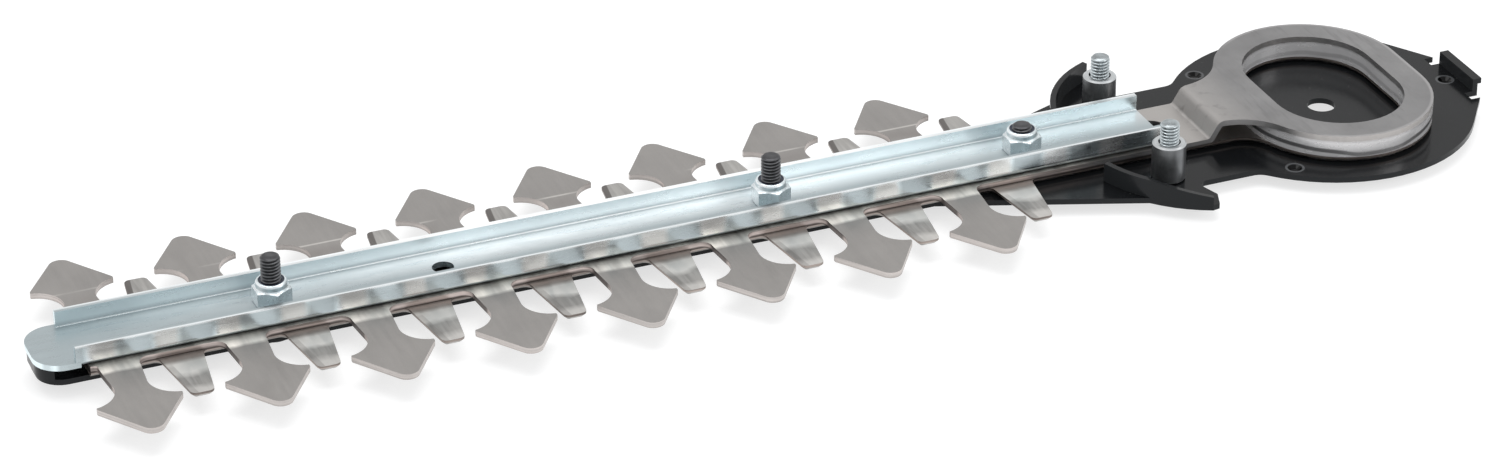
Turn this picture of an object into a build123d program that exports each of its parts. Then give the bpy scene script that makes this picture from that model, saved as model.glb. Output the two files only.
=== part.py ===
from build123d import *
import os
from math import atan2, cos, radians, sin, sqrt, tan

os.makedirs("parts", exist_ok=True)

# All sizes are in millimetres.
# The origin is the centre of the drive hole on the upper face of the base plate.
# +X runs along the blade to its tip, +Z is up, and the part is mirrored about Y = 0.

# How far a cutting shape runs past what it cuts, and how near an edge lies to count as the one meant
cut_past = 5.0
pick = 0.1

# Driving dimensions of the cutting teeth
tooth_pitch = 25.0
tooth_count = 8
first_guard_x = 88.0
first_cutter_x = 75.5
guard_wing_half = 8.3
guard_wing_end = 0.6
guard_undercut_r = 6.0
guard_neck_half = 3.3
guard_arc_y = 17.4
guard_root_y = 10.8
guard_root_half = 3.9
guard_apex_y = 36.0
guard_apex_r = 2.4
guard_root_r = 2.1
cutter_tip_y = 23.2
cutter_tip_half = 2.2
cutter_root_half = 4.4
cutter_tip_r = 1.2
cutter_root_r = 1.2
cutter_bevel = 0.7
strip_past_guard = 5.2

# Driving dimensions of the sheet metal and the stack
blade_t = 1.2
base_t = 1.2
channel_t = 1.2
blade_slide_gap = 0.05
channel_slide_gap = 0.10
ring_slide_gap = 0.05
strip_half = 8.2
last_guard_x = first_guard_x + (tooth_count - 1) * tooth_pitch
strip_end_x = last_guard_x + strip_past_guard
strip_corner_r = 0.8

# Heights of the stack, from the upper face of the base plate
base_top = 0.0
base_bottom = base_top - base_t
lower_bottom = base_top + blade_slide_gap
lower_top = lower_bottom + blade_t
upper_bottom = lower_top
upper_top = upper_bottom + blade_t
channel_bottom = upper_top + channel_slide_gap
channel_floor = channel_bottom + channel_t

# Travel of each blade, and the crank cam that the yokes are shaped for
blade_travel = 6.0
cam_r = 13.9
cam_gap = 0.1
yoke_slot_r = cam_r + cam_gap
yoke_slot_half = blade_travel + cam_gap
yoke_band = 6.0
yoke_outer_r = yoke_slot_r + yoke_band
upper_neck_half = 8.6
upper_neck_r = 12.0
lower_neck_r = 7.0
neck_end_x = 40.0

# Joggle that lifts the upper yoke above the lower one
joggle_rise = 3.6
joggle_low_x = 30.8
joggle_high_x = 28.6
bend_inner_r = 0.8

# Guide channel above the blades
channel_half = 7.9
channel_height = 4.5
channel_rear_x = 40.0
channel_past_strip = 2.6
channel_front_x = strip_end_x + channel_past_strip
tongue_length = 7.2
tongue_overlap = 1.0
channel_tip_x = channel_front_x + tongue_length
channel_tip_r = 5.6
channel_bend_r = 0.3
channel_hole_gap = 0.2

# Base plate
bar_half = 6.8
bar_tip_back = 0.7
bar_tip_x = channel_tip_x - bar_tip_back
bar_tip_r = 5.2
apron_x = 92.0
disc_r = 32.0
disc_rear_x = 32.4
disc_rear_y = 10.0
disc_shoulder_x = 25.5
disc_shoulder_y = 20.8
near_shoulder_y = 18.8
waist_half = 20.2
waist_r = 3.5
waist_x = sqrt(disc_r**2 - waist_half**2)
drive_hole_r = 3.0
wing_inner_x = 39.8
wing_notch_r = 1.7
wing_notch_in = 1.9
wing_notch_rise = 6.0
wing_end_in = 0.5
wing_end_drop = 0.3
wing_overlap = 1.0
fence_x = 30.0
fence_y = 4.6
fence_r = 27.8
fence_t = 1.2
fence_top = 4.0
fence_first_deg = 16.0
fence_last_deg = 67.0
fence_low_top = 1.3
fence_low_past = 2.0
apron_start_deg = 40.0
dimple_x = 18.2
dimple_y = 22.4
dimple_rear_x = -29.6
dimple_r = 1.5
dimple_depth = 0.6
tab_half = 7.0
tab_notch_y = 10.0
tab_notch_x = 30.3
tab_t = 1.2
tab_back_x = 33.4
tab_top = 2.8
tab_hook = 0.8

# Fasteners
bolt_r = 2.0
front_bolt_back = 33.5
middle_bolt_ahead = 37.0
rear_bolt_back = 18.5
spare_hole_back = 68.4
bolt_xs = [last_guard_x - front_bolt_back, first_guard_x + middle_bolt_ahead, first_guard_x - rear_bolt_back]
bolt_names = ["front", "middle", "rear"]
bolt_tails = [5.3, 5.3, 1.0]
spare_hole_x = last_guard_x - spare_hole_back
bush_r = 3.5
bush_gap = 0.3
slot_r = bush_r + bush_gap
slot_half = blade_travel + bush_gap
open_slot_x = 46.3
bolt_hole_gap = 0.1
nut_flats = 7.0
nut_h = 5.0
nut_body_h = 3.6
nut_collar_r = 3.15
collar_chamfer = 0.3
nut_corner_r = 3.8
insert_r = 2.75
insert_h = 1.2
insert_gap = 0.02
insert_sink = 0.15
head_r = 3.8
head_h = 2.4
head_edge = 0.7
socket_flats = 2.5
socket_depth = 1.3
point_chamfer = 0.45

# Stand-off sleeves and their bolts
sleeve_x = 44.0
sleeve_y = 16.0
sleeve_r = 3.5
sleeve_bore_r = 2.3
sleeve_h = 8.3
sleeve_chamfer = 0.35
stud_out = 4.4
stud_neck = 0.3
shank_r = 1.75

# Block between base bar and channel at the tip
spacer_gap = 0.7
spacer_rear_x = strip_end_x + blade_travel + spacer_gap
spacer_inset = 0.3


def guard_tooth_points():
    # half outline of one guard tooth, from its root to the sharp apex
    arc_x = guard_neck_half + guard_undercut_r
    wing_y = guard_arc_y + sqrt(guard_undercut_r**2 - (arc_x - guard_wing_half) ** 2)
    half = 0.5 * atan2(wing_y - guard_arc_y, arc_x - guard_wing_half)
    mid_x = arc_x - guard_undercut_r * cos(half)
    mid_y = guard_arc_y + guard_undercut_r * sin(half)
    return wing_y, mid_x, mid_y


def neck_web(neck_half, blend_r):
    # centre of the arc that joins a neck to the round end of its yoke, and the height where it touches
    rise = neck_half + blend_r - yoke_slot_half
    centre_x = sqrt((yoke_outer_r + blend_r) ** 2 - rise**2)
    touch_y = yoke_slot_half + yoke_outer_r * rise / (yoke_outer_r + blend_r)
    return centre_x, touch_y


wing_y, undercut_x, undercut_y = guard_tooth_points()
upper_web_x, upper_web_y = neck_web(upper_neck_half, upper_neck_r)
lower_web_x, lower_web_y = neck_web(strip_half, lower_neck_r)
bend_angle = atan2(joggle_rise, joggle_low_x - joggle_high_x)
bend_shift = blade_t * tan(bend_angle / 2)
bend_outer_r = bend_inner_r + blade_t
yoke_rear_x = yoke_outer_r + cut_past

# One pair of guard teeth, pointing both ways from the centre line
with BuildSketch() as guard_tooth:
    with BuildLine():
        root = Line((guard_root_half, 0), (guard_root_half, guard_root_y))
        neck = Line(root @ 1, (guard_neck_half, guard_arc_y))
        arc = ThreePointArc(neck @ 1, (undercut_x, undercut_y), (guard_wing_half, wing_y))
        wing = Line(arc @ 1, (guard_wing_half, wing_y + guard_wing_end))
        edge = Line(wing @ 1, (0, guard_apex_y))
        mirror(about=Plane.YZ)
        Line((-guard_root_half, 0), (guard_root_half, 0))
    make_face()
    mirror(about=Plane.XZ)

# One pair of cutters, pointing both ways from the centre line
with BuildSketch() as cutter:
    with BuildLine():
        Polyline(
            (-cutter_root_half, 0),
            (-cutter_root_half, strip_half),
            (-cutter_tip_half, cutter_tip_y),
            (cutter_tip_half, cutter_tip_y),
            (cutter_root_half, strip_half),
            (cutter_root_half, 0),
            close=True,
        )
    make_face()
    mirror(about=Plane.XZ)

# Upper blade: guard teeth on both sides of one flat strip, joggled up to its yoke
with BuildPart() as upper_blade:
    with BuildSketch(Plane.XZ) as side:
        with BuildLine():
            Polyline(
                (strip_end_x + cut_past, upper_top),
                (joggle_low_x, upper_top),
                (joggle_high_x, upper_top + joggle_rise),
                (-yoke_rear_x, upper_top + joggle_rise),
                (-yoke_rear_x, upper_bottom + joggle_rise),
                (joggle_high_x - bend_shift, upper_bottom + joggle_rise),
                (joggle_low_x - bend_shift, upper_bottom),
                (strip_end_x + cut_past, upper_bottom),
                close=True,
            )
        make_face()
        inner = [v for v in side.vertices() if abs(v.X - joggle_low_x) < pick]
        inner = inner + [v for v in side.vertices() if abs(v.X - joggle_high_x + bend_shift) < pick]
        fillet(inner, bend_inner_r)
        outer = [v for v in side.vertices() if abs(v.X - joggle_high_x) < pick]
        outer = outer + [v for v in side.vertices() if abs(v.X - joggle_low_x + bend_shift) < pick]
        fillet(outer, bend_outer_r)
    extrude(amount=guard_apex_y + cut_past, both=True)
    with BuildSketch(Plane.XY.offset(base_top)) as guard_plan:
        with Locations((0.5 * (strip_end_x + neck_end_x), 0)):
            Rectangle(strip_end_x - neck_end_x, 2 * strip_half)
        with Locations([(first_guard_x + index * tooth_pitch, 0) for index in range(tooth_count)]):
            add(guard_tooth.sketch)
        SlotCenterToCenter(2 * yoke_slot_half, 2 * yoke_outer_r, rotation=90)
        with Locations((0.5 * neck_end_x, 0)):
            Rectangle(neck_end_x, 2 * upper_neck_half)
        with Locations((0.5 * upper_web_x, 0)):
            Rectangle(upper_web_x, 2 * upper_web_y)
        blend_y = upper_neck_half + upper_neck_r
        with Locations((upper_web_x, blend_y), (upper_web_x, -blend_y)):
            Circle(upper_neck_r, mode=Mode.SUBTRACT)
        SlotCenterToCenter(2 * yoke_slot_half, 2 * yoke_slot_r, rotation=90, mode=Mode.SUBTRACT)
        for x in bolt_xs + [spare_hole_x, open_slot_x]:
            with Locations((x, 0)):
                SlotCenterToCenter(2 * slot_half, 2 * slot_r, mode=Mode.SUBTRACT)
    extrude(amount=upper_top + joggle_rise + cut_past, mode=Mode.INTERSECT)
    corners = upper_blade.edges().filter_by(Axis.Z)
    fillet([e for e in corners if abs(e.center().Y) > guard_apex_y - pick], guard_apex_r)
    corners = upper_blade.edges().filter_by(Axis.Z)
    corners = [e for e in corners if abs(abs(e.center().Y) - strip_half) < pick]
    roots = [e for e in corners if first_guard_x - 0.5 * tooth_pitch < e.center().X < last_guard_x]
    fillet(roots, guard_root_r)
    corners = upper_blade.edges().filter_by(Axis.Z)
    corners = [e for e in corners if abs(abs(e.center().Y) - strip_half) < pick]
    fillet([e for e in corners if abs(e.center().X - last_guard_x - guard_root_half) < pick], strip_corner_r)
upper_blade.part.label = "upper_blade"
export_step(upper_blade.part, "parts/upper_blade.step")

# Thick ring welded under the upper yoke, which the crank cam runs in
with BuildPart() as upper_yoke_ring:
    with BuildSketch(Plane.XY.offset(lower_top + ring_slide_gap)):
        SlotCenterToCenter(2 * yoke_slot_half, 2 * yoke_outer_r, rotation=90)
        SlotCenterToCenter(2 * yoke_slot_half, 2 * yoke_slot_r, rotation=90, mode=Mode.SUBTRACT)
    extrude(amount=upper_bottom + joggle_rise - lower_top - ring_slide_gap)
upper_yoke_ring.part.label = "upper_yoke_ring"
export_step(upper_yoke_ring.part, "parts/upper_yoke_ring.step")

# Lower blade: short cutters between the guard teeth, flat through to its yoke
with BuildPart() as lower_blade:
    with BuildSketch(Plane.XY.offset(lower_bottom)) as cutter_plan:
        with Locations((0.5 * strip_end_x, 0)):
            Rectangle(strip_end_x, 2 * strip_half)
        with Locations([(first_cutter_x + index * tooth_pitch, 0) for index in range(tooth_count)]):
            add(cutter.sketch)
        SlotCenterToCenter(2 * yoke_slot_half, 2 * yoke_outer_r, rotation=90)
        with Locations((0.5 * lower_web_x, 0)):
            Rectangle(lower_web_x, 2 * lower_web_y)
        with Locations((lower_web_x, strip_half + lower_neck_r), (lower_web_x, -strip_half - lower_neck_r)):
            Circle(lower_neck_r, mode=Mode.SUBTRACT)
        SlotCenterToCenter(2 * yoke_slot_half, 2 * yoke_slot_r, rotation=90, mode=Mode.SUBTRACT)
        for x in bolt_xs + [spare_hole_x, open_slot_x]:
            with Locations((x, 0)):
                SlotCenterToCenter(2 * slot_half, 2 * slot_r, mode=Mode.SUBTRACT)
    extrude(amount=blade_t)
    corners = lower_blade.edges().filter_by(Axis.Z)
    tips = [e for e in corners if abs(e.center().Y) > cutter_tip_y - pick and e.center().X > neck_end_x]
    fillet(tips, cutter_tip_r)
    corners = lower_blade.edges().filter_by(Axis.Z)
    corners = [e for e in corners if abs(abs(e.center().Y) - strip_half) < pick]
    fillet([e for e in corners if neck_end_x < e.center().X < strip_end_x - pick], cutter_root_r)
    rim = lower_blade.edges().group_by(Axis.Z)[0]
    chamfer([e for e in rim if abs(e.center().Y) > lower_web_y], cutter_bevel)
lower_blade.part.label = "lower_blade"
export_step(lower_blade.part, "parts/lower_blade.step")

# Hollow of the guide channel
with BuildSketch(Plane.YZ.offset(channel_rear_x)) as trough:
    with Locations((0, channel_floor + 0.5 * channel_height)):
        Rectangle(2 * (channel_half - channel_t), channel_height)
    fillet(trough.vertices().group_by(Axis.Y)[0], channel_bend_r)

# Guide channel above the blades, with a flat rounded tongue at the tip
with BuildPart() as guide_bar:
    with BuildSketch(Plane.YZ.offset(channel_rear_x)) as channel:
        with Locations((0, channel_bottom + 0.5 * channel_height)):
            Rectangle(2 * channel_half, channel_height)
        fillet(channel.vertices().group_by(Axis.Y)[0], channel_bend_r + channel_t)
    extrude(amount=channel_front_x - channel_rear_x)
    extrude(trough.sketch, amount=channel_front_x - channel_rear_x, mode=Mode.SUBTRACT)
    with BuildSketch(Plane.XY.offset(channel_bottom)) as tongue:
        with Locations((0.5 * (channel_front_x + channel_tip_x - tongue_overlap), 0)):
            Rectangle(channel_tip_x - channel_front_x + tongue_overlap, 2 * channel_half)
        fillet(tongue.vertices().group_by(Axis.X)[-1], channel_tip_r)
    extrude(amount=channel_t)
    with BuildSketch(Plane.XY.offset(channel_bottom)):
        with Locations([(x, 0) for x in bolt_xs + [spare_hole_x]]):
            Circle(bolt_r + channel_hole_gap)
    extrude(amount=channel_t, mode=Mode.SUBTRACT)
guide_bar.part.label = "guide_bar"
export_step(guide_bar.part, "parts/guide_bar.step")

# Base plate: disc, wings with upright fences, rear tab, and the long bar under the blades
arc_start = (
    fence_x + fence_r * cos(radians(apron_start_deg)),
    fence_y + fence_r * sin(radians(apron_start_deg)),
)
arc_mid_deg = 0.5 * (apron_start_deg + fence_last_deg)
arc_mid = (fence_x + fence_r * cos(radians(arc_mid_deg)), fence_y + fence_r * sin(radians(arc_mid_deg)))
arc_end = (
    fence_x + fence_r * cos(radians(fence_last_deg)),
    fence_y + fence_r * sin(radians(fence_last_deg)),
)
wing_end = (wing_inner_x - wing_end_in, arc_end[1] - wing_end_drop)
notch_top = (wing_inner_x - wing_notch_in, waist_half + wing_notch_rise)

# One wing of the base plate, with the apron that tapers to the bar
with BuildSketch() as wing:
    with BuildLine():
        Line((apron_x, bar_half - wing_overlap), (apron_x, bar_half))
        Line((apron_x, bar_half), arc_start)
        ThreePointArc(arc_start, arc_mid, arc_end)
        Line(arc_end, wing_end)
        Line(wing_end, notch_top)
        Line(notch_top, (wing_inner_x, waist_half))
        Line((wing_inner_x, waist_half), (wing_inner_x, bar_half - wing_overlap))
        Line((wing_inner_x, bar_half - wing_overlap), (apron_x, bar_half - wing_overlap))
    make_face()

with BuildPart() as base_plate:
    with BuildSketch(Plane.XY.offset(base_bottom)) as base_plan:
        with Locations((0.5 * bar_tip_x, 0)):
            Rectangle(bar_tip_x, 2 * bar_half)
        Circle(disc_r)
        with BuildLine():
            Polyline(
                (0, near_shoulder_y),
                (-sqrt(disc_r**2 - near_shoulder_y**2), near_shoulder_y),
                (-disc_rear_x, disc_rear_y),
                (-disc_rear_x, -disc_rear_y),
                (-disc_shoulder_x, -disc_shoulder_y),
                (0, -disc_shoulder_y),
                close=True,
            )
        make_face()
        with Locations((0.5 * wing_inner_x, 0)):
            Rectangle(wing_inner_x, 2 * waist_half)
        add(wing.sketch)
        mirror(wing.sketch, about=Plane.XZ)
        notch_depth = disc_rear_x - tab_notch_x
        with Locations(
            (-tab_notch_x - notch_depth, 0.5 * (tab_half + tab_notch_y)),
            (-tab_notch_x - notch_depth, -0.5 * (tab_half + tab_notch_y)),
        ):
            Rectangle(2 * notch_depth, tab_notch_y - tab_half, mode=Mode.SUBTRACT)
        with Locations((0, 0)):
            Circle(drive_hole_r, mode=Mode.SUBTRACT)
        with Locations([(x, 0) for x in bolt_xs]):
            Circle(bolt_r + bolt_hole_gap, mode=Mode.SUBTRACT)
        with Locations((sleeve_x, sleeve_y), (sleeve_x, -sleeve_y)):
            Circle(bolt_r + bolt_hole_gap, mode=Mode.SUBTRACT)
    extrude(amount=base_t)
    corners = base_plate.edges().filter_by(Axis.Z)
    waist = [e for e in corners if abs(abs(e.center().Y) - waist_half) < pick]
    fillet([e for e in waist if abs(e.center().X - waist_x) < pick], waist_r)
    fillet([e for e in waist if abs(e.center().X - wing_inner_x) < pick], wing_notch_r)
    fillet([e for e in corners if e.center().X > bar_tip_x - pick], bar_tip_r)
    with BuildSketch(Plane.XZ) as tab_side:
        with BuildLine():
            Polyline(
                (-tab_notch_x, base_bottom),
                (-tab_notch_x, base_top),
                (-tab_back_x + tab_t, base_top),
                (-tab_back_x + tab_t, tab_top),
                (-tab_back_x - tab_hook, tab_top),
                (-tab_back_x - tab_hook, tab_top - tab_t),
                (-tab_back_x, tab_top - tab_t),
                (-tab_back_x, base_bottom),
                close=True,
            )
        make_face()
    extrude(amount=tab_half, both=True)
    with BuildSketch(Plane.XY.offset(base_top)):
        with BuildLine():
            fence_sweep = fence_last_deg - fence_first_deg
            fence_out = CenterArc((fence_x, fence_y), fence_r, fence_first_deg, fence_sweep)
            fence_in = CenterArc((fence_x, fence_y), fence_r - fence_t, fence_first_deg, fence_sweep)
            Line(fence_out @ 0, fence_in @ 0)
            Line(fence_out @ 1, fence_in @ 1)
        make_face()
        mirror(about=Plane.XZ)
    extrude(amount=fence_top)
    with BuildSketch(Plane.XZ.offset(-fence_y)):
        with BuildLine():
            Polyline(
                (arc_start[0], fence_top),
                (arc_end[0] - fence_low_past, fence_low_top),
                (arc_end[0] - fence_low_past, fence_top + cut_past),
                (arc_start[0], fence_top + cut_past),
                close=True,
            )
        make_face()
    extrude(amount=-2 * fence_r, mode=Mode.SUBTRACT)
    dimples = [(dimple_x, dimple_y), (dimple_x, -dimple_y), (dimple_rear_x, 0)]
    with Locations([(x, y, base_top) for x, y in dimples]):
        Cone(
            dimple_r * 0.5,
            dimple_r,
            dimple_depth,
            align=(Align.CENTER, Align.CENTER, Align.MAX),
            mode=Mode.SUBTRACT,
        )
    with Locations([(x, y, base_bottom) for x, y in dimples]):
        Cone(dimple_r * 0.5, dimple_r, dimple_depth, align=(Align.CENTER, Align.CENTER, Align.MAX))
base_plate.part.label = "base_plate"
export_step(base_plate.part, "parts/base_plate.step")

# Block that holds base bar and channel apart ahead of the blades
with BuildPart() as tip_spacer:
    with BuildSketch(Plane.XY.offset(base_top)) as tip_plan:
        with Locations((0.5 * channel_tip_x - 0.5 * spacer_inset, 0)):
            Rectangle(channel_tip_x - spacer_inset, 2 * (channel_half - spacer_inset))
        fillet(tip_plan.vertices().group_by(Axis.X)[-1], channel_tip_r - spacer_inset)
        with Locations((0.5 * spacer_rear_x, 0)):
            Rectangle(spacer_rear_x, 4 * channel_half, mode=Mode.SUBTRACT)
    extrude(amount=channel_bottom - base_top)
tip_spacer.part.label = "tip_spacer"
export_step(tip_spacer.part, "parts/tip_spacer.step")

# Bolts, spacer bushes, lock nuts and their plastic rings along the bar
for name, x, tail in zip(bolt_names, bolt_xs, bolt_tails):
    with BuildPart() as blade_bolt:
        with BuildSketch(Plane.XY.offset(base_bottom - head_h)):
            with Locations((x, 0)):
                Circle(head_r)
        extrude(amount=head_h)
        chamfer(blade_bolt.edges().group_by(Axis.Z)[0], head_edge)
        with BuildSketch(Plane.XY.offset(base_bottom - head_h)):
            with Locations((x, 0)):
                RegularPolygon(0.5 * socket_flats, 6, major_radius=False)
        extrude(amount=socket_depth, mode=Mode.SUBTRACT)
        with BuildSketch(Plane.XY.offset(base_bottom)):
            with Locations((x, 0)):
                Circle(bolt_r)
        extrude(amount=channel_floor + nut_h + tail - base_bottom)
        chamfer(blade_bolt.edges().group_by(Axis.Z)[-1], point_chamfer)
    blade_bolt.part.label = "blade_bolt_" + name
    export_step(blade_bolt.part, "parts/blade_bolt_" + name + ".step")

    with BuildPart() as bolt_bush:
        with BuildSketch(Plane.XY.offset(base_top)):
            with Locations((x, 0)):
                Circle(bush_r)
                Circle(bolt_r + bolt_hole_gap, mode=Mode.SUBTRACT)
        extrude(amount=channel_bottom - base_top)
    bolt_bush.part.label = "bolt_bush_" + name
    export_step(bolt_bush.part, "parts/bolt_bush_" + name + ".step")

    with BuildPart() as lock_nut:
        with BuildSketch(Plane.XY.offset(channel_floor)):
            with Locations((x, 0)):
                RegularPolygon(0.5 * nut_flats, 6, major_radius=False, rotation=30)
        extrude(amount=nut_body_h)
        with BuildSketch(Plane.XY.offset(channel_floor)):
            with Locations((x, 0)):
                Circle(nut_corner_r)
        extrude(amount=nut_body_h, mode=Mode.INTERSECT)
        with BuildSketch(Plane.XY.offset(channel_floor + nut_body_h)):
            with Locations((x, 0)):
                Circle(nut_collar_r)
        extrude(amount=nut_h - nut_body_h)
        chamfer(lock_nut.edges().group_by(Axis.Z)[-1], collar_chamfer)
        with BuildSketch(Plane.XY.offset(channel_floor)):
            with Locations((x, 0)):
                Circle(bolt_r + insert_gap)
        extrude(amount=nut_h, mode=Mode.SUBTRACT)
        with BuildSketch(Plane.XY.offset(channel_floor + nut_h - insert_h)):
            with Locations((x, 0)):
                Circle(insert_r)
        extrude(amount=insert_h, mode=Mode.SUBTRACT)
    lock_nut.part.label = "lock_nut_" + name
    export_step(lock_nut.part, "parts/lock_nut_" + name + ".step")

    with BuildPart() as nut_insert:
        with BuildSketch(Plane.XY.offset(channel_floor + nut_h - insert_h)):
            with Locations((x, 0)):
                Circle(insert_r - insert_gap)
                Circle(bolt_r + insert_gap, mode=Mode.SUBTRACT)
        extrude(amount=insert_h - insert_sink)
    nut_insert.part.label = "nut_insert_" + name
    export_step(nut_insert.part, "parts/nut_insert_" + name + ".step")

# Stand-off sleeves on the wings, each with the bolt that passes through it
for name, y in zip(["left", "right"], [-sleeve_y, sleeve_y]):
    with BuildPart() as mount_sleeve:
        with BuildSketch(Plane.XY.offset(base_top)):
            with Locations((sleeve_x, y)):
                Circle(sleeve_r)
                Circle(sleeve_bore_r, mode=Mode.SUBTRACT)
        extrude(amount=sleeve_h)
        rims = mount_sleeve.edges().filter_by(GeomType.CIRCLE)
        chamfer([e for e in rims if e.radius > sleeve_r - pick], sleeve_chamfer)
    mount_sleeve.part.label = "mount_sleeve_" + name
    export_step(mount_sleeve.part, "parts/mount_sleeve_" + name + ".step")

    with BuildPart() as mount_bolt:
        with BuildSketch(Plane.XY.offset(base_bottom - head_h)):
            with Locations((sleeve_x, y)):
                Circle(head_r)
        extrude(amount=head_h)
        chamfer(mount_bolt.edges().group_by(Axis.Z)[0], head_edge)
        with BuildSketch(Plane.XY.offset(base_bottom - head_h)):
            with Locations((sleeve_x, y)):
                RegularPolygon(0.5 * socket_flats, 6, major_radius=False)
        extrude(amount=socket_depth, mode=Mode.SUBTRACT)
        with BuildSketch(Plane.XY.offset(base_bottom)):
            with Locations((sleeve_x, y)):
                Circle(shank_r)
        extrude(amount=sleeve_h + stud_neck - base_bottom)
        with BuildSketch(Plane.XY.offset(sleeve_h + stud_neck)):
            with Locations((sleeve_x, y)):
                Circle(bolt_r)
        extrude(amount=stud_out - stud_neck)
        chamfer(mount_bolt.edges().group_by(Axis.Z)[-1], point_chamfer)
    mount_bolt.part.label = "mount_bolt_" + name
    export_step(mount_bolt.part, "parts/mount_bolt_" + name + ".step")
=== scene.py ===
import math

import bpy
import numpy as np
from mathutils import Matrix, Vector


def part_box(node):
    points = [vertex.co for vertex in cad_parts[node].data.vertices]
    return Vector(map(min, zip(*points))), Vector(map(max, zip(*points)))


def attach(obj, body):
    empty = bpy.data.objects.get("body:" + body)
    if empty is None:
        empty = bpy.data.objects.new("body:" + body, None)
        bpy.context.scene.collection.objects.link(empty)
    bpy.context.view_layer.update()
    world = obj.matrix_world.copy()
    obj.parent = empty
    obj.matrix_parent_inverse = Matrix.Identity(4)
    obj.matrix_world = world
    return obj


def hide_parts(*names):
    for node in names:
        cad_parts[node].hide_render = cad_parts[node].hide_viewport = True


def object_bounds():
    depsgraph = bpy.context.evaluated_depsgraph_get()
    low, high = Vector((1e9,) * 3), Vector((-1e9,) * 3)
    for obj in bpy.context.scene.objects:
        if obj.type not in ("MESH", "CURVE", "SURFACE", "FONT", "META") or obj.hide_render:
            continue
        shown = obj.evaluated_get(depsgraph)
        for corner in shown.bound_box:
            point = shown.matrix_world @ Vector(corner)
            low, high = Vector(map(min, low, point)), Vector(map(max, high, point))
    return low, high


bl_info = {
    "name": "Hedge trimmer blade",
    "version": (1, 0, 0),
    "blender": (4, 5, 0),
    "location": "3D View > Sidebar > Hedge blade",
    "description": "Finishes, threaded fasteners and stage for a double-sided hedge trimmer blade",
    "category": "Object",
}

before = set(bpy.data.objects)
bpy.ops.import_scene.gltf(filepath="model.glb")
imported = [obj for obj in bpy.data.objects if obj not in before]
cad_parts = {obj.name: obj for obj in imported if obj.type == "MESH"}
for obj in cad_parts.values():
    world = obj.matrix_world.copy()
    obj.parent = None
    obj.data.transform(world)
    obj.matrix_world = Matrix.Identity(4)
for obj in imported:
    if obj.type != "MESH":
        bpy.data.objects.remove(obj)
cad_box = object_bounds()
MM = 0.001

# Sizes of the blades and the plate that the patterns on them follow, as in the part's source
TOOTH_PITCH = 25.0 * MM
FIRST_CUTTER = 75.5 * MM
CUTTER_TIP = 23.2 * MM
CUTTER_TIP_HALF = 2.2 * MM
CUTTER_ROOT_HALF = 4.4 * MM
STRIP_HALF = 8.2 * MM
NECK_END = 12.4 * MM
HEAD_CREASE = 20.6 * MM
YOKE_END = 62.0 * MM
RING_STRAIGHT = 6.1 * MM
RING_MIDDLE = 17.0 * MM
RING_OUTER = 20.0 * MM
# place where the painted reflections of the teeth on the channel's walls start
TEETH_REFLECTION_START = FIRST_CUTTER + 2.6 * MM
DIMPLES = ((18.2 * MM, 22.4 * MM, 0), (18.2 * MM, -22.4 * MM, 0), (-29.6 * MM, 0, 0))

# Radius of all five bolts, and the height at which their thread starts
SHANK_RADIUS = 2.0 * MM
THREAD_START = 2.0 * MM

# Faces of the bolts and nuts that meet at more than this angle keep a sharp edge
SHARP_ANGLE = math.radians(38)

# Painted shade where the two blades meet
SEAM_SHADE = (0.035, 0.028, 0.025)

# Floor: half its side, its gap under the object, its lit grey, and the glow that makes it look pale
FLOOR_HALF = 6.0
FLOOR_GAP = 0.05 * MM
FLOOR_GREY = (0.40, 0.40, 0.40)
FLOOR_GLOW = 0.70

# Light from all sides, and two panels as name, place, aim, width with height, and watts
SKY_COLOUR = (0.97, 0.985, 1.0)
SKY_STRENGTH = 0.62
LAMPS = (
    ("overhead_panel", (0.10, -0.25, 1.3), (0.12, 0, 0), (1.4, 0.9), 11.0),
    ("side_panel", (-0.9, 0.9, 0.8), (0.10, 0, 0), (0.7, 0.5), 4.0),
)

# Camera, fitted to the teeth, the ring and the nuts of the real object
SENSOR_WIDTH = 36.0
CAMERA_PLACE = (0.45442, 0.78351, 0.47055)
CAMERA_FORWARD = (-0.33433, -0.80635, -0.48788)
CAMERA_RIGHT = (-0.92325, 0.38419, -0.00228)
CLIP_START = 0.01
CLIP_END = 50.0


# Sizes and colours that a user would change

class BladeFastenerSettings(bpy.types.PropertyGroup):
    thread_pitch: bpy.props.FloatProperty(
        name="Thread pitch", description="Distance between two crests of the bolt thread",
        default=0.7 * MM, min=0.2 * MM, max=2 * MM, unit="LENGTH", precision=5)
    thread_depth: bpy.props.FloatProperty(
        name="Thread depth", description="Height of the thread from its root to its crest",
        default=0.40 * MM, min=0.05 * MM, max=1 * MM, unit="LENGTH", precision=5)
    point_length: bpy.props.FloatProperty(
        name="Point length", description="Length of the rounded point of each bolt",
        default=0.55 * MM, min=0.1 * MM, max=2 * MM, unit="LENGTH", precision=5)
    socket_flats: bpy.props.FloatProperty(
        name="Socket width", description="Width across flats of the socket in each bolt head",
        default=2.5 * MM, min=1 * MM, max=4 * MM, unit="LENGTH", precision=5)
    nut_flats: bpy.props.FloatProperty(
        name="Nut width", description="Width across flats of each lock nut",
        default=7.0 * MM, min=4 * MM, max=12 * MM, unit="LENGTH", precision=5)


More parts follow.
